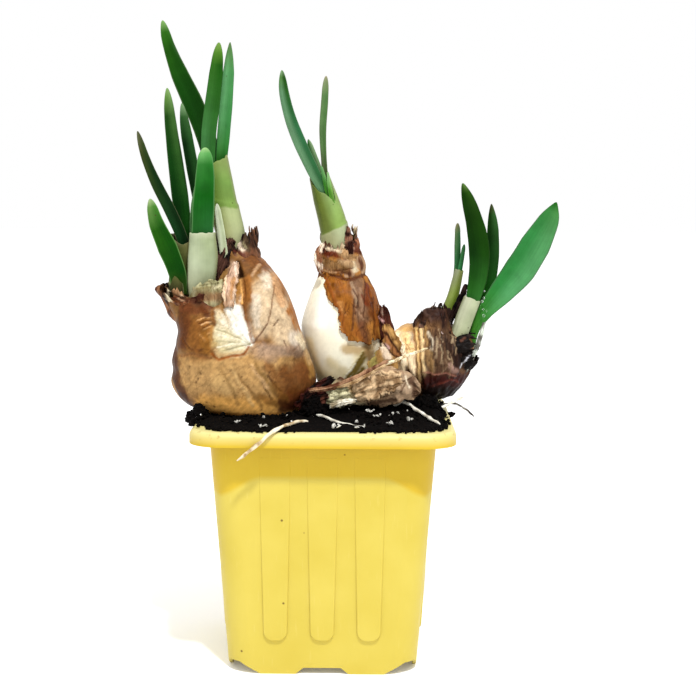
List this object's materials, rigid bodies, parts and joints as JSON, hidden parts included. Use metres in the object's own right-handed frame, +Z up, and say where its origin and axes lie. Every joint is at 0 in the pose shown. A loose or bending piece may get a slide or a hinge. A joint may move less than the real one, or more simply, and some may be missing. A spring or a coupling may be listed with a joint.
{
  "type": "potted daffodil bulbs",
  "caption": "Sprouting narcissus bulbs with young strap leaves, standing half out of dark soil in a small square ribbed plastic pot.",
  "frame": {"origin": "middle of the pot's base, on the surface that the pot stands on", "axes": "+Z up along the leaves, -Y towards the viewer of the picture, +X to the right as seen there"},
  "size_m": [0.1481, 0.092, 0.2255],
  "materials": {
    "pot_plastic": "satin",
    "peat": "rough, damp",
    "brown_tunic": "papery, slightly glossy",
    "bulb_flesh": "smooth, moist",
    "tan_tunic": "wrinkled, papery",
    "dry_skin": "dry, matte",
    "sheath": "smooth, satin",
    "leaf": "waxy, satin",
    "root": "dry, matte"
  },
  "bodies": {
    "root": {"pot": "pot_plastic", "soil": "peat", "bulb_left": "brown_tunic", "bulb_middle": "bulb_flesh", "tunic_middle": "brown_tunic", "bulb_lying": "tan_tunic", "bulb_withered": "dry_skin", "tunic_flap": "dry_skin", "tunic_spike": "dry_skin", "collar_left": "dry_skin", "sheath_left_front": "sheath", "sheath_left_back": "sheath", "sheath_left_papery": "dry_skin", "sheath_middle": "sheath", "sheath_small": "sheath", "sheath_right": "sheath", "sheath_margin": "sheath", "leaf_left_front": "leaf", "leaf_left_fold": "leaf", "leaf_left_low": "leaf", "leaf_left_long": "leaf", "leaf_left_upright": "leaf", "leaf_left_dark": "leaf", "leaf_tall": "leaf", "leaf_pair_left": "leaf", "leaf_pair_right": "leaf", "leaf_middle_left": "leaf", "leaf_middle_inner": "leaf", "leaf_middle_upright": "leaf", "leaf_small": "leaf", "leaf_small_edge": "leaf", "leaf_right_broad": "leaf", "leaf_right_upright": "leaf", "leaf_right_arching": "leaf", "root_front": "root", "root_right": "root", "root_back": "root", "root_dark": "root", "root_middle": "root"}
  },
  "joints": []
}
